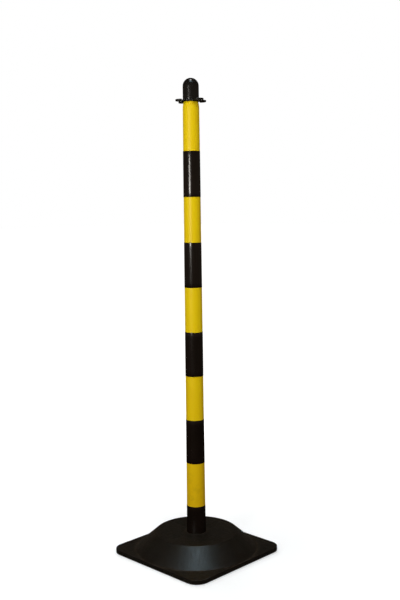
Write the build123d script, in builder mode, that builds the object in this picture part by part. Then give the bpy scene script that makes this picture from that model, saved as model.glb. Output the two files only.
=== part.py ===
from build123d import *
import math
import os

# A chain post: a striped, slightly tapered plastic tube stands in the socket of a square, concrete
# weighted base. A ring with four chain hooks turns on the tube's neck under a domed cap.
# Millimetres, +Z up, origin on the floor under the tube's axis, base sides along X and Y.

# Base shell
BASE_SIDE = 280.0
BASE_CORNER_R = 30.0
RIM_BOTTOM = 1.5  # the rubber pads lift the rim this far off the floor
BRIM_TOP = 11.0
BASE_TOP = 49.0
CONE_FOOT_R = 137.5
CONE_TOP_R = 94.0
CONE_FOOT_FILLET = 3.0
CONE_TOP_FILLET = 5.0
BRIM_EDGE_FILLET = 1.2
SHELL_WALL = 3.0

# Socket, ribs and screw bosses under the shell
SOCKET_FLOOR = 10.5
SOCKET_WALL = 3.0
SOCKET_LEAD_IN = 0.8
RIB_THICK = 2.5
RIB_BOTTOM = 26.0
CORNERS = 4
FIRST_CORNER = 45.0  # degrees
BOSS_CIRCLE_R = 118.0
BOSS_R = 4.5
BOSS_FOOT = 4.0
PILOT_DEPTH = 14.0

# Closing plate, screws, pads and ballast
FIT_GAP = 0.2
PLATE_TOP = BOSS_FOOT - 0.05
SCREW_SHANK_R = 1.9
SCREW_SUNK = 0.1
SCREW_HEAD_R = 3.8
SCREW_TIP = 16.0
SCREW_POINT = 2.0
THREAD_GAP = 0.02
RECESS_LENGTH = 4.2
RECESS_WIDTH = 0.9
RECESS_DEPTH = 1.2
PAD_CIRCLE_R = 158.4
PAD_R = 15.0
PAD_TOP = 2.45
PAD_POCKET_DEPTH = 1.0
PAD_GROOVE_RADII = (5.0, 10.0)
PAD_GROOVE_WIDTH = 1.6
PAD_GROOVE_DEPTH = 0.8

# Tube: straight foot inside the socket, long taper, rounded shoulder, narrow neck
TUBE_FOOT_R = 21.25
TUBE_TOP_R = 18.1
TUBE_WALL = 2.0
TUBE_BOTTOM = 13.5
SHOULDER_START = 1003.0
SHOULDER_TOP = 1018.0
SHOULDER_TOP_R = 15.8
NECK_R = 14.0
NECK_WALL = 2.0
NECK_TOP = 1026.0
NECK_INSIDE_START = 1015.0

# Black film bands, one hundred millimetres deep with yellow gaps of the same depth
BAND_TOPS = (911.0, 711.0, 511.0, 311.0, 111.0)
BAND_DEPTH = 100.0
LOWEST_BAND_BOTTOM = TUBE_BOTTOM + 0.5
FILM_THICK = 0.3
FILM_GAP = 0.02
RUNNING_GAP = 0.05
SOCKET_R = TUBE_FOOT_R + FILM_THICK + RUNNING_GAP

# Foot plug that closes the tube's lower end
PLUG_FLANGE_R = 21.0
PLUG_FLANGE_BOTTOM = SOCKET_FLOOR + RUNNING_GAP
PLUG_FLANGE_TOP = TUBE_BOTTOM - RUNNING_GAP
PLUG_TOP = 30.0
PLUG_WALL = 2.5

# Hook ring
RING_BOTTOM = SHOULDER_TOP + 0.1
RING_THICK = 4.0
RING_HUB_R = 19.5
RING_BORE_R = NECK_R + 0.1
RING_TURN = -9.0  # degrees the ring stands turned from the base's sides
HOOKS = 4
HOOK_CIRCLE_R = 28.0
HOOK_OUTER_R = 11.0
HOOK_EYE_R = 7.0
HOOK_GAP = 5.5
HOOK_WEB_FILLET = 3.0
HOOK_TIP_FILLET = 1.5
RING_EDGE_FILLET = 0.8

# Domed cap
CAP_R = 17.7
CAP_WALL = 2.0
CAP_BOTTOM = RING_BOTTOM + RING_THICK + 0.3
CAP_TOP = 1069.0
CAP_CURVE_START = CAP_TOP - CAP_R
SPIGOT_R = NECK_R - NECK_WALL - RUNNING_GAP
SPIGOT_WALL = 2.0
SPIGOT_BOTTOM = 1004.0
CAP_RIBS = 4
CAP_RIB_THICK = 2.0
CAP_RIB_BOTTOM = NECK_TOP + RUNNING_GAP
CAP_RIB_TOP = 1056.0

CONE_SLOPE = (BASE_TOP - BRIM_TOP) / (CONE_FOOT_R - CONE_TOP_R)
CONE_ANGLE = math.atan(CONE_SLOPE)

os.makedirs("parts", exist_ok=True)


def finish(piece, name):
    """Labels a finished piece and writes it under its own name."""
    piece.part.label = name
    export_step(piece.part, f"parts/{name}.step")


def cone_radius(height, inset=0.0):
    """Radius of the base's cone at a height, drawn in squarely from its slope by inset."""
    return CONE_FOOT_R - (height - BRIM_TOP) / CONE_SLOPE - inset / math.sin(CONE_ANGLE)


def tube_radius(height):
    """Outer radius of the tube below its shoulder."""
    climbed = max(0.0, height - BASE_TOP) / (SHOULDER_START - BASE_TOP)
    return TUBE_FOOT_R + (TUBE_TOP_R - TUBE_FOOT_R) * climbed


def space_under_shell(gap, floor):
    """The space inside the shell around its socket, ribs and bosses, drawn in by gap."""
    ceiling = BASE_TOP - SHELL_WALL - gap
    brim_ceiling = BRIM_TOP - SHELL_WALL - gap
    inset = SHELL_WALL + gap
    side = BASE_SIDE - 2 * inset
    with BuildPart() as space:
        with BuildSketch(Plane.XZ):
            with BuildLine():
                Polyline(
                    (0, brim_ceiling),
                    (cone_radius(brim_ceiling, inset), brim_ceiling),
                    (cone_radius(ceiling, inset), ceiling),
                    (0, ceiling),
                    close=True,
                )
            make_face()
        revolve(axis=Axis.Z)
        with BuildSketch(Plane.XY.offset(floor)):
            RectangleRounded(side, side, BASE_CORNER_R - inset)
        extrude(amount=brim_ceiling - floor)
        with BuildSketch(Plane.XY.offset(BOSS_FOOT)):
            Circle(SOCKET_R + SOCKET_WALL + gap)
            with PolarLocations(BOSS_CIRCLE_R, CORNERS, FIRST_CORNER):
                Circle(BOSS_R + gap)
        extrude(amount=BASE_TOP, mode=Mode.SUBTRACT)
        with BuildSketch(Plane.XY.offset(RIB_BOTTOM - gap)):
            Rectangle(BASE_SIDE, RIB_THICK + 2 * gap)
            Rectangle(RIB_THICK + 2 * gap, BASE_SIDE)
        extrude(amount=BASE_TOP, mode=Mode.SUBTRACT)
    return space.part


# ---------------------------------------------------------------- base shell
shell_hollow = space_under_shell(0.0, RIM_BOTTOM)

with BuildPart() as base_shell:
    with BuildSketch(Plane.XY.offset(RIM_BOTTOM)):
        RectangleRounded(BASE_SIDE, BASE_SIDE, BASE_CORNER_R)
    extrude(amount=BRIM_TOP - RIM_BOTTOM)
    fillet(base_shell.faces().sort_by(Axis.Z)[-1].edges(), radius=BRIM_EDGE_FILLET)
    with BuildSketch(Plane.XZ) as cone_profile:
        with BuildLine():
            Polyline(
                (0, BRIM_TOP - SHELL_WALL),
                (CONE_FOOT_R + CONE_FOOT_FILLET / 2, BRIM_TOP - SHELL_WALL),
                (CONE_FOOT_R + CONE_FOOT_FILLET / 2, BRIM_TOP),
                (CONE_FOOT_R, BRIM_TOP),
                (CONE_TOP_R, BASE_TOP),
                (0, BASE_TOP),
                close=True,
            )
        make_face()
        fillet(cone_profile.vertices().sort_by_distance((CONE_FOOT_R, BRIM_TOP))[0], CONE_FOOT_FILLET)
        fillet(cone_profile.vertices().sort_by_distance((CONE_TOP_R, BASE_TOP))[0], CONE_TOP_FILLET)
    revolve(axis=Axis.Z)
    add(shell_hollow, mode=Mode.SUBTRACT)
    with BuildSketch(Plane.XY.offset(BASE_TOP)):
        Circle(SOCKET_R)
    extrude(amount=SOCKET_FLOOR - BASE_TOP, mode=Mode.SUBTRACT)
    mouth = base_shell.edges().filter_by(GeomType.CIRCLE).group_by(Axis.Z)[-1].sort_by(SortBy.RADIUS)[0]
    chamfer(mouth, length=SOCKET_LEAD_IN)
    with BuildSketch(Plane.XY.offset(BOSS_FOOT)):
        with PolarLocations(BOSS_CIRCLE_R, CORNERS, FIRST_CORNER):
            Circle(SCREW_SHANK_R + THREAD_GAP)
    extrude(amount=PILOT_DEPTH, mode=Mode.SUBTRACT)
finish(base_shell, "base_shell")

# ---------------------------------------------------------------- cast concrete ballast
ballast_block = space_under_shell(FIT_GAP, BOSS_FOOT + FIT_GAP)

with BuildPart() as ballast:
    add(ballast_block)
finish(ballast, "ballast")

# ---------------------------------------------------------------- closing plate
with BuildPart() as base_plate:
    with BuildSketch(Plane.XY.offset(RIM_BOTTOM)):
        plate_inset = SHELL_WALL + FIT_GAP
        plate_side = BASE_SIDE - 2 * plate_inset
        RectangleRounded(plate_side, plate_side, BASE_CORNER_R - plate_inset)
    extrude(amount=PLATE_TOP - RIM_BOTTOM)
    with BuildSketch(Plane.XY.offset(RIM_BOTTOM)):
        with PolarLocations(PAD_CIRCLE_R, CORNERS, FIRST_CORNER):
            Circle(PAD_R + FIT_GAP)
    extrude(amount=PAD_POCKET_DEPTH, mode=Mode.SUBTRACT)
    with Locations(Plane.XY.offset(RIM_BOTTOM).rotated((180, 0, 0))):
        with PolarLocations(BOSS_CIRCLE_R, CORNERS, FIRST_CORNER):
            CounterSinkHole(SCREW_SHANK_R + FIT_GAP, SCREW_HEAD_R + FIT_GAP, counter_sink_angle=90)
finish(base_plate, "base_plate")

# ---------------------------------------------------------------- countersunk self-tapping screws
HEAD_FACE = RIM_BOTTOM + SCREW_SUNK

with BuildPart(mode=Mode.PRIVATE) as one_screw:
    with BuildSketch(Plane.XZ):
        with BuildLine():
            Polyline(
                (0, HEAD_FACE),
                (SCREW_HEAD_R, HEAD_FACE),
                (SCREW_SHANK_R, HEAD_FACE + SCREW_HEAD_R - SCREW_SHANK_R),
                (SCREW_SHANK_R, SCREW_TIP - SCREW_POINT),
                (0, SCREW_TIP),
                close=True,
            )
        make_face()
    revolve(axis=Axis.Z)
    with BuildSketch(Plane.XY.offset(HEAD_FACE)):
        Rectangle(RECESS_LENGTH, RECESS_WIDTH)
        Rectangle(RECESS_WIDTH, RECESS_LENGTH)
    extrude(amount=RECESS_DEPTH, mode=Mode.SUBTRACT)

with BuildPart() as plate_screws:
    with PolarLocations(BOSS_CIRCLE_R, CORNERS, FIRST_CORNER):
        add(one_screw.part)
finish(plate_screws, "plate_screws")

# ---------------------------------------------------------------- rubber pads
with BuildPart() as foot_pads:
    with BuildSketch():
        with PolarLocations(PAD_CIRCLE_R, CORNERS, FIRST_CORNER):
            Circle(PAD_R)
    extrude(amount=PAD_TOP)
    chamfer(foot_pads.edges().group_by(Axis.Z)[0], length=PAD_GROOVE_DEPTH / 2)
    with BuildSketch():
        with PolarLocations(PAD_CIRCLE_R, CORNERS, FIRST_CORNER):
            for groove_radius in PAD_GROOVE_RADII:
                Circle(groove_radius + PAD_GROOVE_WIDTH / 2)
                Circle(groove_radius - PAD_GROOVE_WIDTH / 2, mode=Mode.SUBTRACT)
    extrude(amount=PAD_GROOVE_DEPTH, mode=Mode.SUBTRACT)
finish(foot_pads, "foot_pads")

# ---------------------------------------------------------------- tube
with BuildPart() as post_tube:
    with BuildSketch(Plane.XZ):
        with BuildLine():
            foot_and_taper = Polyline(
                (TUBE_FOOT_R, TUBE_BOTTOM),
                (TUBE_FOOT_R, BASE_TOP),
                (TUBE_TOP_R, SHOULDER_START),
            )
            TangentArc(foot_and_taper @ 1, (SHOULDER_TOP_R, SHOULDER_TOP), tangent=foot_and_taper % 1)
            Polyline(
                (SHOULDER_TOP_R, SHOULDER_TOP),
                (NECK_R, SHOULDER_TOP),
                (NECK_R, NECK_TOP),
                (NECK_R - NECK_WALL, NECK_TOP),
                (NECK_R - NECK_WALL, NECK_INSIDE_START),
                (TUBE_TOP_R - TUBE_WALL, SHOULDER_START),
                (TUBE_FOOT_R - TUBE_WALL, BASE_TOP),
                (TUBE_FOOT_R - TUBE_WALL, TUBE_BOTTOM),
                (TUBE_FOOT_R, TUBE_BOTTOM),
            )
        make_face()
    revolve(axis=Axis.Z)
finish(post_tube, "post_tube")

# ---------------------------------------------------------------- black film bands
for number, band_top in enumerate(BAND_TOPS, start=1):
    band_bottom = max(band_top - BAND_DEPTH, LOWEST_BAND_BOTTOM)
    heights = [band_bottom, band_top]
    if band_bottom < BASE_TOP:
        heights.insert(1, BASE_TOP)
    inner = [(tube_radius(z) + FILM_GAP, z) for z in heights]
    outer = [(tube_radius(z) + FILM_THICK, z) for z in reversed(heights)]
    with BuildPart() as band:
        with BuildSketch(Plane.XZ):
            with BuildLine():
                Polyline(*inner, *outer, close=True)
            make_face()
        revolve(axis=Axis.Z)
    finish(band, f"band_{number}")

# ---------------------------------------------------------------- foot plug
with BuildPart() as foot_plug:
    with BuildSketch(Plane.XY.offset(PLUG_FLANGE_BOTTOM)):
        Circle(PLUG_FLANGE_R)
    extrude(amount=PLUG_FLANGE_TOP - PLUG_FLANGE_BOTTOM)
    with BuildSketch(Plane.XY.offset(PLUG_FLANGE_TOP)):
        Circle(TUBE_FOOT_R - TUBE_WALL - RUNNING_GAP)
        Circle(TUBE_FOOT_R - TUBE_WALL - RUNNING_GAP - PLUG_WALL, mode=Mode.SUBTRACT)
    extrude(amount=PLUG_TOP - PLUG_FLANGE_TOP)
finish(foot_plug, "foot_plug")

# ---------------------------------------------------------------- hook ring
with BuildPart() as hook_ring:
    with BuildSketch(Plane.XY.offset(RING_BOTTOM)) as ring_plan:
        Circle(RING_HUB_R)
        with PolarLocations(HOOK_CIRCLE_R, HOOKS, RING_TURN):
            Circle(HOOK_OUTER_R)
        fillet(ring_plan.vertices(), radius=HOOK_WEB_FILLET)
        with PolarLocations(HOOK_CIRCLE_R, HOOKS, RING_TURN):
            Circle(HOOK_EYE_R, mode=Mode.SUBTRACT)
            with Locations((0, HOOK_OUTER_R)):
                Rectangle(HOOK_GAP, HOOK_OUTER_R * 2, mode=Mode.SUBTRACT)
        fillet(ring_plan.vertices(Select.LAST), radius=HOOK_TIP_FILLET)
        Circle(RING_BORE_R, mode=Mode.SUBTRACT)
    extrude(amount=RING_THICK)
    for rim_face in hook_ring.faces().filter_by(Axis.Z):
        fillet(rim_face.outer_wire().edges(), radius=RING_EDGE_FILLET)
finish(hook_ring, "hook_ring")

# ---------------------------------------------------------------- domed cap
with BuildPart() as dome_cap:
    with BuildSketch(Plane.XZ):
        with BuildLine():
            Polyline((0, CAP_BOTTOM), (CAP_R, CAP_BOTTOM), (CAP_R, CAP_CURVE_START))
            RadiusArc((CAP_R, CAP_CURVE_START), (0, CAP_TOP), -CAP_R)
            Line((0, CAP_TOP), (0, CAP_BOTTOM))
        make_face()
    revolve(axis=Axis.Z)
    with BuildSketch(Plane.XZ):
        inside_r = CAP_R - CAP_WALL
        with BuildLine():
            Polyline((0, CAP_BOTTOM), (inside_r, CAP_BOTTOM), (inside_r, CAP_CURVE_START))
            RadiusArc((inside_r, CAP_CURVE_START), (0, CAP_TOP - CAP_WALL), -inside_r)
            Line((0, CAP_TOP - CAP_WALL), (0, CAP_BOTTOM))
        make_face()
    revolve(axis=Axis.Z, mode=Mode.SUBTRACT)
    with BuildSketch(Plane.XY.offset(SPIGOT_BOTTOM)):
        Circle(SPIGOT_R)
        Circle(SPIGOT_R - SPIGOT_WALL, mode=Mode.SUBTRACT)
    spigot_bore_r = SPIGOT_R - SPIGOT_WALL
    spigot_top = CAP_CURVE_START + math.sqrt(inside_r**2 - spigot_bore_r**2)
    extrude(amount=spigot_top - SPIGOT_BOTTOM)
    with BuildSketch(Plane.XY.offset(CAP_RIB_BOTTOM)):
        with PolarLocations((SPIGOT_R + inside_r) / 2, CAP_RIBS):
            Rectangle(inside_r - SPIGOT_R + CAP_WALL / 2, CAP_RIB_THICK)
    extrude(amount=CAP_RIB_TOP - CAP_RIB_BOTTOM)
finish(dome_cap, "dome_cap")
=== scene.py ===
import math

import bmesh
import bpy
import numpy as np
from mathutils import Euler, Matrix, Vector, noise


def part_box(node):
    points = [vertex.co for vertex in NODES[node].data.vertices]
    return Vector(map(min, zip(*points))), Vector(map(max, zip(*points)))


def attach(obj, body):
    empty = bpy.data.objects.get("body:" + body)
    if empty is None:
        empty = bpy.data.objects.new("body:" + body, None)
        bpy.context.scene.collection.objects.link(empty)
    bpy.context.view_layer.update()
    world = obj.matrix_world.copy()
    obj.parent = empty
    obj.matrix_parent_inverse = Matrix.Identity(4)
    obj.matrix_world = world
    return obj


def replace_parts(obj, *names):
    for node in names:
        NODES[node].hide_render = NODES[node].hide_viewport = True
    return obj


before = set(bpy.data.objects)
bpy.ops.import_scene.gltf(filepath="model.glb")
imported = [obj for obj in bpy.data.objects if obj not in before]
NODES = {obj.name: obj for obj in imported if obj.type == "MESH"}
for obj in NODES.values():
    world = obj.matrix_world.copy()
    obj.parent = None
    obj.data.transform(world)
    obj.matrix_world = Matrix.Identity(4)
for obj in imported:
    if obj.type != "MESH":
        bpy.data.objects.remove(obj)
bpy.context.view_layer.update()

MM = 0.001
HAIR = 1e-5  # slack for comparing lengths, in metres

# The main view looks at a corner of the base, this far round from its front.
VIEW_TURN = math.radians(45)
VIEW_RIGHT = Vector((math.cos(VIEW_TURN), math.sin(VIEW_TURN), 0))
VIEW_NEAR = Vector((math.sin(VIEW_TURN), -math.cos(VIEW_TURN), 0))


# ------------------------------------------------------------------------------------------------
# Node trees
# ------------------------------------------------------------------------------------------------
def srgb(red, green, blue):
    """A colour given the way a screen shows it, 0 to 255, as the linear colour that shaders use."""
    linear = []
    for value in (red, green, blue):
        share = value / 255
        linear.append(share / 12.92 if share <= 0.04045 else ((share + 0.055) / 1.055) ** 2.4)
    return (*linear, 1.0)


class Finish:
    """A material, with short calls that add to its node tree."""

    def __init__(self, name):
        self.material = bpy.data.materials.new(name)
        self.material.use_nodes = True
        self.tree = self.material.node_tree
        self.surface = self.tree.nodes["Principled BSDF"]
        self.place = self.node("ShaderNodeTexCoord").outputs["Object"]

    def node(self, kind, inputs=None, **settings):
        """A new node, with its settings made and its inputs fed."""
        made = self.tree.nodes.new(kind)
        for key, value in settings.items():
            setattr(made, key, value)
        for key, value in (inputs or {}).items():
            self.feed(made.inputs[key], value)
        return made

    def feed(self, socket, value):
        """Links another node's output to an input, or sets the input's own value."""
        if isinstance(value, bpy.types.NodeSocket):
            self.tree.links.new(value, socket)
        else:
            socket.default_value = value

    def set(self, **inputs):
        """Feeds the surface shader; Base_Color means its Base Color input."""
        for key, value in inputs.items():
            self.feed(self.surface.inputs[key.replace("_", " ")], value)

    def stretched(self, stretch):
        """The place with each axis scaled; less than 1 draws a pattern out along that axis."""
        mapping = self.node("ShaderNodeMapping", {"Vector": self.place, "Scale": stretch})
        return mapping.outputs["Vector"]

    def noise(self, scale, detail=3.0, rough=0.5, stretch=None, bend=0.0):
        """Smooth noise from 0 to 1; scale is in features per metre."""
        where = self.stretched(stretch) if stretch else self.place
        inputs = {"Vector": where, "Scale": scale, "Detail": detail, "Roughness": rough, "Distortion": bend}
        return self.node("ShaderNodeTexNoise", inputs).outputs["Fac"]

    def cells(self, scale, feature="F1"):
        """A cell pattern; its Distance output is least at the middle of each cell."""
        return self.node("ShaderNodeTexVoronoi", {"Vector": self.place, "Scale": scale}, feature=feature)

    def spread(self, value, low, high, to_low=0.0, to_high=1.0):
        """Maps low..high of a value to to_low..to_high, and clamps it there."""
        inputs = {"Value": value, "From Min": low, "From Max": high, "To Min": to_low, "To Max": to_high}
        return self.node("ShaderNodeMapRange", inputs).outputs["Result"]

    def calc(self, operation, first, second=0.0):
        """Arithmetic on one or two numbers."""
        made = self.node("ShaderNodeMath", operation=operation)
        self.feed(made.inputs[0], first)
        self.feed(made.inputs[1], second)
        return made.outputs[0]

    def mix(self, share, first, second):
        """The first colour at share 0, the second at share 1."""
        made = self.node("ShaderNodeMix", data_type="RGBA")
        colours = [socket for socket in made.inputs if socket.type == "RGBA"]
        self.feed(made.inputs[0], share)
        self.feed(colours[0], first)
        self.feed(colours[1], second)
        return next(socket for socket in made.outputs if socket.type == "RGBA")

    def bump(self, height, strength, distance, over=None):
        """A bumped normal; distance is the height of the bumps, and over is a bump to build on."""
        inputs = {"Height": height, "Strength": strength, "Distance": distance}
        if over:
            inputs["Normal"] = over
        return self.node("ShaderNodeBump", inputs).outputs["Normal"]

    def axis(self, name):
        """One coordinate of the place, in metres."""
        return self.node("ShaderNodeSeparateXYZ", {"Vector": self.place}).outputs[name]

    def from_axis(self):
        """Distance from the post's axis."""
        flat = self.node("ShaderNodeVectorMath", operation="MULTIPLY")
        self.feed(flat.inputs[0], self.place)
        self.feed(flat.inputs[1], (1, 1, 0))
        reach = self.node("ShaderNodeVectorMath", operation="LENGTH")
        self.feed(reach.inputs[0], flat.outputs[0])
        return reach.outputs["Value"]

    def dulled(self, level):
        """A gloss level that fades where the surface is seen aslant, as a coat of fine dust makes it."""
        aslant = self.node("ShaderNodeLayerWeight").outputs["Facing"]
        return self.spread(aslant, 0.45, 0.72, level, 0.0)

    def upward(self):
        """How far the surface faces up: 1 if it is level, 0 if it is steeper than 60 degrees."""
        normal = self.node("ShaderNodeNewGeometry").outputs["Normal"]
        height = self.node("ShaderNodeSeparateXYZ", {"Vector": normal}).outputs["Z"]
        return self.spread(height, 0.5, 1.0)


# ------------------------------------------------------------------------------------------------
# Materials
# ------------------------------------------------------------------------------------------------
def yellow_tube():
    """Blow-moulded yellow plastic: satin, faintly cloudy, handled, and browner and dirtier lower down."""
    finish = Finish("yellow_tube")
    cloud = finish.noise(14.0, detail=4.0, stretch=(1.0, 1.0, 0.35))
    colour = finish.mix(finish.spread(cloud, 0.35, 0.68), srgb(238, 211, 1), srgb(231, 199, 1))
    # A smooth tint by height alone: browner and darker towards the bottom.
    browner_low = finish.spread(finish.axis("Z"), 0.12, 0.5, 0.42, 0.0)
    colour = finish.mix(browner_low, colour, srgb(226, 168, 0))
    rubbed = finish.noise(55.0, detail=6.0, rough=0.7, stretch=(1.0, 1.0, 0.16))
    rubbed = finish.spread(rubbed, 0.62, 0.74, 0.0, 0.22)
    colour = finish.mix(rubbed, colour, srgb(214, 180, 12))
    low = finish.spread(finish.axis("Z"), 0.06, 0.34, 1.0, 0.0)
    soil = finish.spread(finish.noise(38.0, detail=8.0, rough=0.72), 0.5, 0.78, 0.0, 0.4)
    colour = finish.mix(finish.calc("MULTIPLY", low, soil), colour, srgb(122, 93, 16))
    speck = finish.spread(finish.cells(190.0).outputs["Distance"], 0.05, 0.08, 0.5, 0.0)
    sparse = finish.spread(finish.noise(24.0, detail=2.0), 0.6, 0.66)
    colour = finish.mix(finish.calc("MULTIPLY", speck, sparse), colour, srgb(104, 84, 22))
    shine = finish.noise(70.0, detail=5.0, stretch=(1.0, 1.0, 0.12))
    peel = finish.bump(finish.noise(650.0, detail=2.0), 0.1, 0.2 * MM)
    wave = finish.bump(finish.noise(26.0, detail=1.0, stretch=(1.0, 1.0, 0.5)), 0.3, 1.0 * MM, over=peel)
    finish.set(Base_Color=colour, Roughness=finish.spread(shine, 0.3, 0.7, 0.36, 0.46), Normal=wave)
    finish.set(Specular_IOR_Level=finish.dulled(0.36), Subsurface_Weight=0.05, Subsurface_Scale=1.0)
    finish.set(Subsurface_Radius=(4 * MM, 2.4 * MM, 0.5 * MM))
    return finish.material


def black_film():
    """Glossy black film: shallow ripples, hairline scratches, dust along it and faint scuffs."""
    finish = Finish("black_film")
    tone = finish.noise(30.0, detail=4.0, stretch=(1.0, 1.0, 0.5))
    colour = finish.mix(finish.spread(tone, 0.35, 0.7), srgb(14, 8, 5), srgb(21, 13, 9))
    hair = finish.noise(210.0, detail=2.0, stretch=(1.0, 1.0, 0.04), bend=0.4)
    scratch = finish.spread(hair, 0.71, 0.74)
    patch = finish.spread(finish.noise(19.0, detail=2.0), 0.5, 0.62)
    scratch = finish.calc("MULTIPLY", scratch, patch)
    colour = finish.mix(finish.calc("MULTIPLY", scratch, 0.4), colour, srgb(74, 68, 60))
    dust = finish.spread(finish.noise(150.0, detail=8.0, rough=0.8), 0.62, 0.82, 0.0, 0.1)
    colour = finish.mix(dust, colour, srgb(96, 84, 70))
    haze = finish.spread(finish.noise(46.0, detail=5.0, stretch=(1.0, 1.0, 0.3)), 0.35, 0.7, 0.21, 0.28)
    roughness = finish.calc("ADD", haze, finish.calc("MULTIPLY", scratch, 0.3))
    ripple = finish.bump(finish.noise(60.0, detail=2.0, stretch=(1.0, 1.0, 0.3)), 0.06, 0.5 * MM)
    cut = finish.bump(scratch, 0.3, -0.06 * MM, over=ripple)
    finish.set(Base_Color=colour, Roughness=roughness, Specular_IOR_Level=finish.dulled(0.5), Normal=cut)
    return finish.material


def grained_shell():
    """The base's black plastic: fine moulded grain, settled dust, worn brim edge and kick marks."""
    finish = Finish("grained_shell")
    tone = finish.noise(11.0, detail=5.0, rough=0.6)
    colour = finish.mix(finish.spread(tone, 0.3, 0.7), srgb(12, 10, 7), srgb(20, 16, 11))
    settled = finish.spread(finish.noise(42.0, detail=8.0, rough=0.75), 0.42, 0.8, 0.0, 0.18)
    colour = finish.mix(finish.calc("MULTIPLY", settled, finish.upward()), colour, srgb(66, 55, 43))
    from_axis = finish.from_axis()
    crease = finish.calc("ABSOLUTE", finish.calc("SUBTRACT", from_axis, CONE_FOOT + 2 * MM))
    crease = finish.spread(crease, 0.0, 6 * MM, 1.0, 0.0)
    mouth = finish.spread(from_axis, SOCKET_R + MM, SOCKET_R + 9 * MM, 1.0, 0.0)
    powder = finish.spread(finish.noise(75.0, detail=7.0, rough=0.7), 0.38, 0.7, 0.0, 0.42)
    powder = finish.calc("MULTIPLY", powder, finish.calc("MAXIMUM", crease, mouth))
    colour = finish.mix(finish.calc("MULTIPLY", powder, finish.upward()), colour, srgb(70, 58, 44))
    along_x = finish.calc("ABSOLUTE", finish.axis("X"))
    along_y = finish.calc("ABSOLUTE", finish.axis("Y"))
    edge = finish.calc("MAXIMUM", along_x, along_y)
    edge = finish.spread(edge, HALF_SIDE - 6 * MM, HALF_SIDE - 0.5 * MM)
    chafe = finish.spread(finish.noise(90.0, detail=6.0, rough=0.7), 0.52, 0.74, 0.0, 0.3)
    colour = finish.mix(finish.calc("MULTIPLY", edge, chafe), colour, srgb(62, 56, 49))
    hair = finish.noise(120.0, detail=3.0, stretch=(1.0, 0.07, 0.6), bend=0.8)
    kicked = finish.spread(finish.noise(9.0), 0.5, 0.62)
    mark = finish.calc("MULTIPLY", finish.spread(hair, 0.7, 0.74), kicked)
    colour = finish.mix(finish.calc("MULTIPLY", mark, 0.45), colour, srgb(68, 62, 54))
    roughness = finish.spread(finish.noise(120.0, detail=6.0, rough=0.75), 0.3, 0.7, 0.31, 0.54)
    grain = finish.bump(finish.cells(620.0, feature="SMOOTH_F1").outputs["Distance"], 0.5, 0.3 * MM)
    pebble = finish.bump(finish.noise(270.0, detail=3.0), 0.5, 0.5 * MM, over=grain)
    uneven = finish.bump(finish.noise(24.0, detail=2.0), 0.25, 1.0 * MM, over=pebble)
    finish.set(Base_Color=colour, Roughness=roughness, Normal=uneven)
    return finish.material


def moulded_black(name, dark, light, roughness, grain):
    """Satin black moulded plastic for the cap, ring, plug and plate; grain is its bump's strength."""
    finish = Finish(name)
    tone = finish.noise(60.0, detail=5.0, rough=0.6)
    colour = finish.mix(finish.spread(tone, 0.3, 0.7), dark, light)
    dust = finish.spread(finish.noise(170.0, detail=8.0, rough=0.78), 0.5, 0.82, 0.0, 0.25)
    colour = finish.mix(finish.calc("MULTIPLY", dust, finish.upward()), colour, srgb(84, 76, 66))
    shine = finish.noise(95.0, detail=4.0, stretch=(1.0, 1.0, 0.3))
    fine = finish.bump(finish.noise(900.0, detail=3.0), grain, 0.2 * MM)
    soft = finish.bump(finish.noise(75.0, detail=2.0), 0.12, 0.4 * MM, over=fine)
    low, high = roughness
    finish.set(Base_Color=colour, Roughness=finish.spread(shine, 0.3, 0.7, low, high), Normal=soft)
    finish.set(Specular_IOR_Level=finish.dulled(0.5))
    return finish.material


def pad_rubber():
    """Black anti-slip rubber, matt and floury with floor dust."""
    finish = Finish("pad_rubber")
    dust = finish.spread(finish.noise(160.0, detail=8.0, rough=0.8), 0.4, 0.75, 0.0, 0.5)
    colour = finish.mix(dust, srgb(20, 19, 19), srgb(78, 74, 70))
    pores = finish.bump(finish.noise(1100.0, detail=4.0), 0.5, 0.2 * MM)
    finish.set(Base_Color=colour, Roughness=finish.spread(dust, 0.0, 0.5, 0.72, 0.92), Normal=pores)
    return finish.material


def zinc_screw():
    """Zinc-plated steel with a turned sheen and dull white bloom."""
    finish = Finish("zinc_screw")
    bloom = finish.spread(finish.noise(420.0, detail=6.0, rough=0.7), 0.48, 0.7)
    colour = finish.mix(bloom, srgb(178, 178, 172), srgb(132, 132, 130))
    turned = finish.bump(finish.noise(1500.0, stretch=(1.0, 1.0, 6.0)), 0.25, 0.05 * MM)
    finish.set(Base_Color=colour, Metallic=finish.spread(bloom, 0.0, 1.0, 1.0, 0.55), Normal=turned)
    finish.set(Roughness=finish.spread(bloom, 0.0, 1.0, 0.28, 0.6))
    return finish.material


def cast_concrete():
    """Grey cement with pale and dark aggregate and small air holes."""
    finish = Finish("cast_concrete")
    cement = finish.mix(finish.noise(40.0, detail=8.0, rough=0.7), srgb(140, 136, 128), srgb(182, 177, 166))
    stones = finish.cells(130.0)
    stone = finish.spread(stones.outputs["Distance"], 0.28, 0.34, 0.8, 0.0)
    colour = finish.mix(stone, cement, finish.mix(0.7, stones.outputs["Color"], srgb(128, 122, 112)))
    holes = finish.spread(finish.cells(240.0).outputs["Distance"], 0.12, 0.2)
    rough = finish.bump(finish.noise(300.0, detail=8.0, rough=0.7), 0.5, 0.6 * MM)
    pitted = finish.bump(holes, 0.6, 0.8 * MM, over=rough)
    finish.set(Base_Color=colour, Roughness=0.9, Normal=pitted)
    return finish.material


# ------------------------------------------------------------------------------------------------
# Turned meshes
# ------------------------------------------------------------------------------------------------
SHARP_EDGE = math.radians(40)


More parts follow.
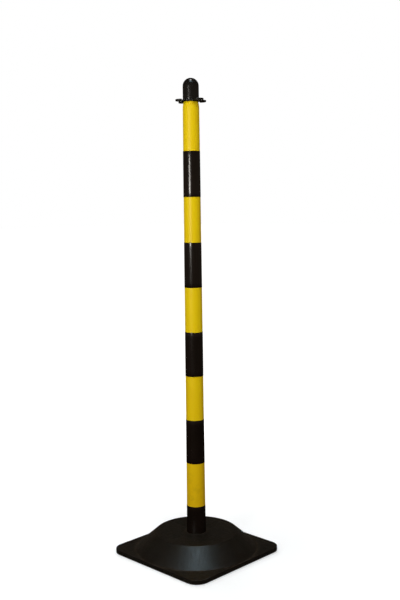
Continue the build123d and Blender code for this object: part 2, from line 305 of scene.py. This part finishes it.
def rounded(points, steps=6):
    """An outline of (radius, height) points; a third number rounds that corner to that radius."""
    outline = []
    for index, point in enumerate(points):
        corner = Vector(point[:2])
        if len(point) < 3:
            outline.append(corner)
            continue
        back = (Vector(points[index - 1][:2]) - corner).normalized()
        onward = (Vector(points[(index + 1) % len(points)][:2]) - corner).normalized()
        half = back.angle(onward) / 2
        centre = corner + (back + onward).normalized() * (point[2] / math.sin(half))
        start = corner + back * (point[2] / math.tan(half)) - centre
        end = corner + onward * (point[2] / math.tan(half)) - centre
        turn = math.atan2(start.x * end.y - start.y * end.x, start.dot(end))
        for step in range(steps + 1):
            outline.append(centre + Matrix.Rotation(turn * step / steps, 2) @ start)
    return outline


def divided(outline, longest):
    """The same outline with long straight stretches cut into equal parts."""
    result = []
    for start, end in zip(outline, outline[1:]):
        parts = max(1, math.ceil((end - start).length / longest))
        result += [start.lerp(end, part / parts) for part in range(parts)]
    return result + [outline[-1]]


def spin(name, outline, material, segments, shape):
    """A closed solid made by turning an outline round Z. The outline goes up on the outside and down on
    the inside. It either closes on itself or starts and ends on the axis. shape(angles, radii, heights)
    returns the radii and heights changed, as arrays of outline points by angles."""
    angles = np.arange(segments) * (2 * math.pi / segments)
    radii = np.array([[point[0]] * segments for point in outline])
    heights = np.array([[point[1]] * segments for point in outline])
    radii, heights = shape(angles, radii, heights)
    to_axis = outline[0][0] < HAIR
    mesh = bmesh.new()
    rings = []
    for index in range(len(outline)):
        if to_axis and index in (0, len(outline) - 1):
            rings.append([mesh.verts.new((0, 0, heights[index].mean()))] * segments)
            continue
        across = zip(radii[index] * np.cos(angles), radii[index] * np.sin(angles), heights[index])
        rings.append([mesh.verts.new(point) for point in across])
    if not to_axis:
        rings.append(rings[0])
    for lower, upper in zip(rings, rings[1:]):
        for step in range(segments):
            onward = (step + 1) % segments
            corners = [lower[step], lower[onward], upper[onward], upper[step]]
            mesh.faces.new(dict.fromkeys(corners))
    return make_piece(name, mesh, material)


def make_piece(name, mesh, material):
    """An object from a bmesh, smooth-shaded except across sharp edges."""
    data = bpy.data.meshes.new(name)
    mesh.to_mesh(data)
    mesh.free()
    data.shade_smooth()
    data.set_sharp_from_angle(angle=SHARP_EDGE)
    data.materials.append(material)
    piece = bpy.data.objects.new(name, data)
    bpy.context.scene.collection.objects.link(piece)
    return piece


def smoothstep(value, low, high):
    """0 below low, 1 above high and a smooth rise between them."""
    share = np.clip((value - low) / (high - low), 0, 1)
    return share * share * (3 - 2 * share)


def turn_apart(angles, centre):
    """How far each angle is from centre, the short way round."""
    return np.abs((angles - centre + math.pi) % (2 * math.pi) - math.pi)


def scatter(angles, radii, heights, scale):
    """Smooth noise from -1 to 1 at each point of a turned mesh."""
    field = np.zeros_like(radii)
    for index, step in np.ndindex(radii.shape):
        reach, height = radii[index, step], heights[index, step]
        place = Vector((reach * math.cos(angles[step]), reach * math.sin(angles[step]), height))
        field[index, step] = noise.noise(place * scale)
    return field


# ------------------------------------------------------------------------------------------------
# Base
# ------------------------------------------------------------------------------------------------
shell_low, shell_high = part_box("base_shell")
HALF_SIDE = shell_high.x
BASE_TOP = shell_high.z
RIM_BOTTOM = shell_low.z
WALL = 3 * MM
CORNER_CENTRE = HALF_SIDE - 30 * MM
BRIM_TOP = 11 * MM
BRIM_ROUND = 1 * MM
CONE_FOOT = 137.5 * MM
CONE_HEAD = 94 * MM
SOCKET_R = 21.6 * MM
SOCKET_BEVEL = 0.8 * MM
SOCKET_FLOOR = 10.5 * MM
SINK_DEPTH = 0.22 * MM
SINK_WIDTH = 3.2 * MM
CHIP_DEPTH = 0.9 * MM
BASE_SEGMENTS = 384
WEB_RINGS = 7


def square_reach(angles, half):
    """Distance from the axis to a rounded square whose corner arcs stay centred on CORNER_CENTRE."""
    off_side = np.abs((angles + math.pi / 4) % (math.pi / 2) - math.pi / 4)
    off_corner = math.pi / 4 - off_side
    far = CORNER_CENTRE * math.sqrt(2)
    round_reach = far * np.cos(off_corner) + np.sqrt(
        np.maximum((half - CORNER_CENTRE) ** 2 - (far * np.sin(off_corner)) ** 2, 0)
    )
    on_side = np.tan(off_side) * half <= CORNER_CENTRE
    return np.where(on_side, half / np.cos(off_side), round_reach)


def build_shell(material):
    """The base shell as moulded: rounded edges, sink marks over the ribs and a chafed brim edge.

    Its rings are circles on the disc and cone and rounded squares on the brim, and turn from the one
    into the other across the brim's flat top."""
    cone_lean = math.atan2(BASE_TOP - BRIM_TOP, CONE_FOOT - CONE_HEAD)
    inset = WALL / math.sin(cone_lean) - WALL / math.tan(cone_lean)
    ceiling, brim_ceiling = BASE_TOP - WALL, BRIM_TOP - WALL
    under = [
        (0, SOCKET_FLOOR - WALL),
        (SOCKET_R + WALL, SOCKET_FLOOR - WALL),
        (SOCKET_R + WALL, ceiling),
        (CONE_HEAD - inset, ceiling),
        (CONE_FOOT - inset, brim_ceiling),
    ]
    rim = [
        (HALF_SIDE - WALL, brim_ceiling),
        (HALF_SIDE - WALL, RIM_BOTTOM),
        (HALF_SIDE, RIM_BOTTOM, 0.5 * MM),
        (HALF_SIDE, BRIM_TOP, BRIM_ROUND),
        (HALF_SIDE - 2 * BRIM_ROUND, BRIM_TOP),
    ]
    top = [
        (CONE_FOOT + 1.15 * MM, BRIM_TOP),  # just past the rounding of the cone's foot
        (CONE_FOOT, BRIM_TOP, 3 * MM),
        (CONE_HEAD, BASE_TOP, 5 * MM),
        (SOCKET_R + SOCKET_BEVEL, BASE_TOP, 0.5 * MM),
        (SOCKET_R, BASE_TOP - SOCKET_BEVEL),
        (SOCKET_R, SOCKET_FLOOR),
        (0, SOCKET_FLOOR),
    ]
    under = divided([Vector(point) for point in under], 8 * MM)
    rim = divided(rounded(rim)[:-1], 4 * MM)
    top = divided(rounded(top), 5 * MM)
    steps = [ring / WEB_RINGS for ring in range(1, WEB_RINGS)]
    web = [rim[-1].lerp(top[0], step) for step in steps]
    squareness = [0.0] * len(under) + [1.0] * len(rim) + [1 - step for step in steps] + [0.0] * len(top)

    def shape(angles, radii, heights):
        square = np.array([square_reach(angles, half) for half in radii[:, 0]])
        share = np.array(squareness)[:, None]
        reach = radii * (1 - share) + square * share
        across, along = reach * np.cos(angles), reach * np.sin(angles)
        off_rib = np.minimum(np.abs(across), np.abs(along))
        # The ribs run under the disc, from near the socket almost to the cone.
        over_rib = smoothstep(reach, 28 * MM, 40 * MM) * (1 - smoothstep(reach, 80 * MM, 90 * MM))
        on_disc = heights > BASE_TOP - HAIR
        sink = SINK_DEPTH * np.exp(-((off_rib / SINK_WIDTH) ** 2)) * over_rib * on_disc
        near_edge = smoothstep(square, HALF_SIDE - 1.5 * MM, HALF_SIDE) * (share > 0.99)
        near_edge = near_edge * smoothstep(heights, 2 * MM, BRIM_TOP - 2 * MM)
        chips = scatter(angles, reach, heights, 90.0) + 0.6 * scatter(angles, reach, heights, 230.0)
        dent = CHIP_DEPTH * np.clip(chips - 0.5, 0, 1) * near_edge
        return reach - dent, heights - sink - dent * 0.6

    outline = under + rim + web + top
    piece = spin("shell", outline, material, BASE_SEGMENTS, shape)
    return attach(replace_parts(piece, "base_shell"), "base")


# ------------------------------------------------------------------------------------------------
# Tube and film bands
# ------------------------------------------------------------------------------------------------
tube_low, tube_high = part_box("post_tube")
TUBE_FOOT_R = tube_high.x
TUBE_TOP_R = 18.1 * MM
TUBE_WALL = 2 * MM
SHOULDER_START = 1003 * MM
SHOULDER_TOP = 1018 * MM
SHOULDER_TOP_R = 15.8 * MM
NECK_R = 14 * MM
NECK_BORE_START = 1015 * MM
SEAM_ANGLE = math.radians(118)
SEAM_WIDTH = 0.018  # radians
SEAM_HEIGHT = 0.12 * MM
WALL_WAVE = 0.07 * MM
BANDS = range(1, 6)
FILM = 0.3 * MM
FILM_GAP = 0.02 * MM
FILM_LAP = 0.14 * MM
LAP_START = math.radians(196)
LAP_WIDTH = math.radians(28)
LAP_STAGGER = 0.35  # radians from one band's lap to the next one's
LAP_STEP = 0.03  # radians that a lap's end takes to rise
TUBE_SEGMENTS = 240


def tube_radius(height):
    """The tube's outer radius below the shoulder; it tapers above the base and is straight in it."""
    climbed = np.clip((height - BASE_TOP) / (SHOULDER_START - BASE_TOP), 0, 1)
    return TUBE_FOOT_R + (TUBE_TOP_R - TUBE_FOOT_R) * climbed


def shoulder_arc(steps=10):
    """The arc that leaves the tube's wall upright and leans in to the shoulder's top."""
    narrowing, rise = TUBE_TOP_R - SHOULDER_TOP_R, SHOULDER_TOP - SHOULDER_START
    radius = (narrowing**2 + rise**2) / (2 * narrowing)
    sweep = math.asin(rise / radius)
    arc = []
    for step in range(1, steps):
        turn = sweep * step / steps
        arc.append((TUBE_TOP_R - radius * (1 - math.cos(turn)), SHOULDER_START + radius * math.sin(turn)))
    return arc


def build_tube(material):
    """The tube: blow-moulded, with a fine mould seam down two opposite sides and a slightly wavy wall."""
    points = [
        (TUBE_FOOT_R, tube_low.z),
        (TUBE_FOOT_R, BASE_TOP),
        (TUBE_TOP_R, SHOULDER_START),
        *shoulder_arc(),
        (SHOULDER_TOP_R, SHOULDER_TOP, 0.5 * MM),
        (NECK_R, SHOULDER_TOP, 0.3 * MM),
        (NECK_R, tube_high.z, 0.5 * MM),
        (NECK_R - TUBE_WALL, tube_high.z, 0.4 * MM),
        (NECK_R - TUBE_WALL, NECK_BORE_START),
        (TUBE_TOP_R - TUBE_WALL, SHOULDER_START),
        (TUBE_FOOT_R - TUBE_WALL, BASE_TOP),
        (TUBE_FOOT_R - TUBE_WALL, tube_low.z),
    ]
    outline = divided(rounded(points), 20 * MM)

    def shape(angles, radii, heights):
        # Only the bare outside of the wall is changed, clear of the socket, the bands and the shoulder's top.
        outside = radii > tube_radius(heights) - TUBE_WALL / 2
        shown = outside & (heights > BASE_TOP + HAIR) & (heights < SHOULDER_TOP - MM)
        for number in BANDS:
            low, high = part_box(f"band_{number}")
            shown = shown & ((heights < low.z - MM) | (heights > high.z + MM))
        seam = np.zeros_like(radii)
        for side in (0, math.pi):
            seam = seam + np.exp(-((turn_apart(angles, SEAM_ANGLE + side) / SEAM_WIDTH) ** 2))
        wave = scatter(angles, radii, heights * 0.4, 55.0)
        return radii + shown * (WALL_WAVE * wave + SEAM_HEIGHT * seam), heights

    piece = spin("tube", outline, material, TUBE_SEGMENTS, shape)
    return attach(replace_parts(piece, "post_tube"), "post")


def build_band(number, material):
    """One film band, wrapped once round the tube with its end lapped over its start."""
    low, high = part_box(f"band_{number}")
    edge_round = 0.1 * MM
    heights = [low.z, high.z] if low.z > BASE_TOP else [low.z, BASE_TOP, high.z]
    outer = [(tube_radius(z) + FILM, z) for z in heights]
    outer[0] += (edge_round,)
    outer[-1] += (edge_round,)
    inner = [(tube_radius(z) + FILM_GAP, z) for z in reversed(heights)]
    outline = divided(rounded(outer + inner, steps=3), 12 * MM)
    start = LAP_START + LAP_STAGGER * number

    def shape(angles, radii, heights):
        into_lap = (angles - start) % (2 * math.pi)
        lap = smoothstep(into_lap, 0, LAP_STEP) * (1 - smoothstep(into_lap, LAP_WIDTH - LAP_STEP, LAP_WIDTH))
        outside = radii > tube_radius(heights) + FILM / 2
        above_socket = heights > BASE_TOP + MM
        return radii + FILM_LAP * lap * outside * above_socket, heights

    piece = spin(f"film_band_{number}", outline, material, TUBE_SEGMENTS, shape)
    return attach(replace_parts(piece, f"band_{number}"), "post")


# ------------------------------------------------------------------------------------------------
# Hook ring and cap
# ------------------------------------------------------------------------------------------------
RING_VOXEL = 0.4 * MM
HOOK_BEND = 0.024  # rise of the right-hand hooks and fall of the left-hand ones, per metre from the axis
CAP_WALL = 2 * MM
CAP_CLEARANCE = 0.3 * MM
CAP_SEGMENTS = 160
GATE_R = 1.3 * MM
GATE_DEPTH = 0.25 * MM
SPIGOT_R = 11.95 * MM
SPIGOT_BORE_R = 9.95 * MM
RIB_WIDTH = 2 * MM
RIB_LENGTH = 29.9 * MM
RIB_MIDDLE = 1041 * MM
RIB_BEVEL = 0.3 * MM


def build_ring(material):
    """The hook ring with soft moulded edges; its hooks have bent a little with use."""
    mesh = bmesh.new()
    mesh.from_mesh(NODES["hook_ring"].data)
    bmesh.ops.remove_doubles(mesh, verts=mesh.verts, dist=1e-6)
    piece = make_piece("ring", mesh, material)
    remesh = piece.modifiers.new("even", "REMESH")
    remesh.mode = "VOXEL"
    remesh.voxel_size = RING_VOXEL
    soften = piece.modifiers.new("soften", "SMOOTH")
    soften.factor = 0.5
    soften.iterations = 4
    shown = piece.evaluated_get(bpy.context.evaluated_depsgraph_get())
    piece.data = bpy.data.meshes.new_from_object(shown)
    piece.modifiers.clear()
    for vertex in piece.data.vertices:
        reach = math.hypot(vertex.co.x, vertex.co.y)
        on_hook = float(smoothstep(reach, 18 * MM, 26 * MM))
        vertex.co.z += HOOK_BEND * vertex.co.dot(VIEW_RIGHT) * on_hook
    piece.data.shade_smooth()
    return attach(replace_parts(piece, "hook_ring"), "ring")


def build_cap(material):
    """The domed cap with its long hollow spigot, four stop ribs and a small moulding gate mark on top."""
    low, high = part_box("dome_cap")
    radius = high.x
    inside = radius - CAP_WALL
    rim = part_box("hook_ring")[1].z + CAP_CLEARANCE
    quarter = [math.pi / 2 * step / 20 for step in range(20)]
    outer_meet = math.acos(SPIGOT_R / inside)
    bore_meet = math.acos(SPIGOT_BORE_R / inside)
    apart = 0.04  # keeps the arcs' points off the corners where they meet the spigot, in radians

    def on_dome(reach, turn):
        return reach * math.cos(turn), high.z - radius + reach * math.sin(turn)

    points = [
        (0, high.z - CAP_WALL),
        *(on_dome(inside, turn) for turn in reversed(quarter) if turn > bore_meet + apart),
        on_dome(inside, bore_meet),
        (SPIGOT_BORE_R, low.z, 0.6 * MM),
        (SPIGOT_R, low.z, 0.8 * MM),
        on_dome(inside, outer_meet),
        *(on_dome(inside, turn) for turn in reversed(quarter) if turn < outer_meet - apart),
        (inside, rim, 0.3 * MM),
        (radius, rim, 0.5 * MM),
        *(on_dome(radius, turn) for turn in quarter),
        (0, high.z),
    ]
    outline = divided(rounded(points), 4 * MM)

    def shape(angles, radii, heights):
        outside = heights > high.z - 2 * MM
        gate = np.exp(-((radii / GATE_R) ** 4)) * outside
        return radii, heights - GATE_DEPTH * gate

    piece = spin("cap", outline, material, CAP_SEGMENTS, shape)
    ribs = bmesh.new()
    ribs.from_mesh(piece.data)
    middle = Matrix.Translation(((SPIGOT_R + inside) / 2, 0, RIB_MIDDLE))
    size = Matrix.Diagonal((inside - SPIGOT_R + MM, RIB_WIDTH, RIB_LENGTH, 1))
    for side in range(4):
        block = bmesh.ops.create_cube(ribs, size=1.0)["verts"]
        turn = Matrix.Rotation(side * math.pi / 2, 4, "Z")
        bmesh.ops.transform(ribs, matrix=turn @ middle @ size, verts=block)
        edges = list({edge for vertex in block for edge in vertex.link_edges})
        bmesh.ops.bevel(ribs, geom=edges, offset=RIB_BEVEL, segments=2, affect="EDGES")
    ribs.to_mesh(piece.data)
    ribs.free()
    piece.data.set_sharp_from_angle(angle=SHARP_EDGE)
    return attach(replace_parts(piece, "dome_cap"), "cap")


# ------------------------------------------------------------------------------------------------
# Stage, lights and camera
# ------------------------------------------------------------------------------------------------
STRIP_HEIGHT = 0.88
# The room that gloss mirrors, as (rise, brightness) from straight down, -1, to straight up, 1.
ROOM_LEVELS = ((-1.0, 0.01), (-0.2, 0.02), (-0.1, 0.11), (0.0, 0.19), (0.15, 0.12), (0.3, 0.075), (1.0, 0.01))
ROOM_TINT = (1.0, 0.8, 0.62)
FAR_SIDE_LEVEL = 0.45  # share of that brightness which is left behind the object
SOFT_LEVEL = (0.2, 0.155, 0.118, 1)  # what lights matt surfaces evenly, from all sides
WHITE = (1, 1, 1, 1)


def from_view(side, near, height):
    """A place given as seen from the camera: to the right, towards the viewer, and up, in metres."""
    return VIEW_RIGHT * side + VIEW_NEAR * near + Vector((0, 0, height))


def soft_light(name, place, aim, size, watts, colour, mirrored=True, spread=180):
    """A rectangular lamp. One that isn't mirrored lights surfaces without showing in their gloss."""
    lamp = bpy.data.lights.new(name, "AREA")
    lamp.shape = "RECTANGLE"
    lamp.size, lamp.size_y = size
    lamp.energy = watts
    lamp.color = colour
    lamp.spread = math.radians(spread)
    holder = bpy.data.objects.new(name, lamp)
    holder.location = place
    holder.rotation_euler = (aim - place).to_track_quat("-Z", "Y").to_euler()
    holder.visible_glossy = mirrored
    bpy.context.scene.collection.objects.link(holder)


def build_lights():
    """A small bright lamp for the post's streak of light, and broad ones that light all sides evenly."""
    foot = Vector((0, 0, 0))
    middle = Vector((0, 0, 0.8))
    beside_strip = Vector((0, 0, STRIP_HEIGHT))
    strip = from_view(-0.72, 1.25, STRIP_HEIGHT)
    soft_light("strip", strip, beside_strip, (0.2, 0.28), 6.5, (1.0, 0.96, 0.9))
    soft_light("halo", strip, beside_strip, (0.55, 0.3), 1.2, (1.0, 0.92, 0.82))
    front, left, back = from_view(0.35, 1.65, 1.9), from_view(-1.5, 0.35, 1.7), from_view(-0.5, -1.6, 1.5)
    soft_light("front", front, middle, (1.2, 0.8), 18.5, (1.0, 0.965, 0.89), mirrored=False)
    soft_light("left", left, middle, (0.8, 0.8), 5, (0.97, 1.0, 0.93), mirrored=False)
    soft_light("back", back, middle, (1.0, 1.0), 20, (1.0, 0.98, 0.95), mirrored=False)
    soft_light("overhead", from_view(0, 0, 2.4), middle, (0.2, 0.2), 4.6, (1.0, 0.99, 0.97))
    front_top = from_view(0.03, 0.78, 2.3)
    soft_light("front_top", front_top, foot, (0.6, 0.6), 0.4, (0.62, 0.87, 1.0), spread=30)


def build_world():
    """White to the camera, even and dim for soft light, and a dark room for what gloss mirrors."""
    world = bpy.data.worlds.new("room")
    bpy.context.scene.world = world
    world.use_nodes = True
    nodes, links = world.node_tree.nodes, world.node_tree.links

    def backdrop(colour):
        made = nodes.new("ShaderNodeBackground")
        if isinstance(colour, bpy.types.NodeSocket):
            links.new(colour, made.inputs["Color"])
        else:
            made.inputs["Color"].default_value = colour
        return made.outputs[0]

    def either(choice, no, yes):
        made = nodes.new("ShaderNodeMixShader")
        for socket, source in zip(made.inputs, (choice, no, yes)):
            links.new(source, socket)
        return made.outputs[0]

    direction = nodes.new("ShaderNodeTexCoord").outputs["Generated"]
    height = nodes.new("ShaderNodeSeparateXYZ")
    links.new(direction, height.inputs[0])
    lift = nodes.new("ShaderNodeMapRange")
    lift.inputs["From Min"].default_value = -1
    links.new(height.outputs["Z"], lift.inputs["Value"])
    ramp = nodes.new("ShaderNodeValToRGB")
    links.new(lift.outputs["Result"], ramp.inputs["Fac"])
    elements = ramp.color_ramp.elements
    while len(elements) < len(ROOM_LEVELS):
        elements.new(0.5)
    for element, (rise, level) in zip(elements, ROOM_LEVELS):
        element.position = (rise + 1) / 2
        element.color = (*(level * tint for tint in ROOM_TINT), 1)
    nearness = nodes.new("ShaderNodeVectorMath")
    nearness.operation = "DOT_PRODUCT"
    nearness.inputs[1].default_value = from_view(0, 1, 0)
    links.new(direction, nearness.inputs[0])
    share = nodes.new("ShaderNodeMapRange")
    share.inputs["From Min"].default_value = -0.9
    share.inputs["From Max"].default_value = 0.1
    share.inputs["To Min"].default_value = FAR_SIDE_LEVEL
    links.new(nearness.outputs["Value"], share.inputs["Value"])
    dimmed = nodes.new("ShaderNodeVectorMath")
    dimmed.operation = "SCALE"
    links.new(ramp.outputs["Color"], dimmed.inputs[0])
    links.new(share.outputs["Result"], dimmed.inputs["Scale"])
    seen = nodes.new("ShaderNodeLightPath").outputs
    lit = either(seen["Is Glossy Ray"], backdrop(SOFT_LEVEL), backdrop(dimmed.outputs[0]))
    shown = either(seen["Is Camera Ray"], lit, backdrop(WHITE))
    links.new(shown, nodes["World Output"].inputs["Surface"])
    world.cycles.sampling_method = "NONE"


def build_floor():
    """A pale floor that takes a soft shadow, glows to white further out and is in no reflection."""
    finish = Finish("floor")
    glow = finish.spread(finish.from_axis(), 0.2, 1.2, 0.42, 1.0)
    finish.set(Base_Color=(0.6, 0.63, 0.67, 1), Roughness=0.9, Specular_IOR_Level=0.0)
    finish.set(Emission_Color=WHITE, Emission_Strength=glow)
    mesh = bmesh.new()
    bmesh.ops.create_grid(mesh, x_segments=1, y_segments=1, size=30)
    data = bpy.data.meshes.new("floor")
    mesh.to_mesh(data)
    mesh.free()
    data.materials.append(finish.material)
    floor = bpy.data.objects.new("floor", data)
    floor.location.z = -0.2 * MM
    bpy.context.scene.collection.objects.link(floor)
    floor.visible_diffuse = False
    floor.visible_glossy = False


def build_camera():
    """A view from just under two metres away and about three quarters of the post's height."""
    distance, height = 1.9155, 0.7853
    pitch, pan, roll = math.radians(6.055), math.radians(0.437), math.radians(0.7)
    data = bpy.data.cameras.new("camera")
    data.lens = 51.64
    data.sensor_width = 36
    camera = bpy.data.objects.new("camera", data)
    bpy.context.scene.collection.objects.link(camera)
    camera.location = from_view(0, distance, height)
    turn = Euler((math.pi / 2 - pitch, 0, VIEW_TURN - pan)).to_matrix()
    camera.rotation_euler = (turn @ Matrix.Rotation(-roll, 3, "Z")).to_euler()
    bpy.context.scene.camera = camera
    bpy.context.scene.view_settings.view_transform = "Standard"


# ------------------------------------------------------------------------------------------------
# The whole object
# ------------------------------------------------------------------------------------------------
def paint(material, *names):
    """Gives CAD pieces, whose own meshes are shown, their material."""
    for name in names:
        for place in NODES[name].material_slots:
            place.material = material


film = black_film()
plate_black = moulded_black("plate_black", srgb(30, 29, 28), srgb(42, 40, 38), (0.55, 0.72), 0.3)
cap_black = moulded_black("cap_black", srgb(12, 11, 10), srgb(20, 18, 15), (0.22, 0.3), 0.03)
ring_black = moulded_black("ring_black", srgb(13, 12, 10), srgb(23, 20, 16), (0.34, 0.5), 0.15)
build_shell(grained_shell())
build_tube(yellow_tube())
for band_number in BANDS:
    build_band(band_number, film)
build_ring(ring_black)
build_cap(cap_black)
paint(cast_concrete(), "ballast")
paint(plate_black, "base_plate", "foot_plug")
paint(zinc_screw(), "plate_screws")
paint(pad_rubber(), "foot_pads")
build_world()
build_lights()
build_floor()
build_camera()
